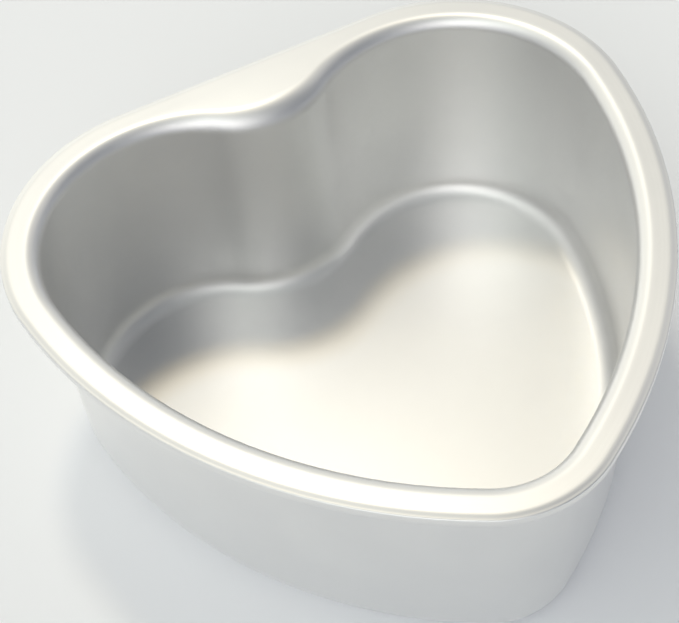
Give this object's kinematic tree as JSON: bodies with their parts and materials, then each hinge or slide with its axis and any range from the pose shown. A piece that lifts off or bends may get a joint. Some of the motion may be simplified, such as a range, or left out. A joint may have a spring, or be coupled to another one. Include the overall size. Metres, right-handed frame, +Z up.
{
  "type": "heart cake pan",
  "caption": "Deep heart-shaped cake pan with near-vertical walls, a flat floor and a broad level rim with a rolled edge.",
  "frame": {"origin": "on the plane that the base stands on, under the middle of the overall length and width", "axes": "+Z up, out of the mouth; +X across the lobes, to the right seen from the tip; +Y from the tip to the cleft, in the mirror plane"},
  "size_m": [0.172, 0.1632, 0.069],
  "materials": {
    "pan": "satin anodised, seamless, pale silver"
  },
  "bodies": {
    "root": {"heart_pan": "pan"}
  },
  "joints": []
}
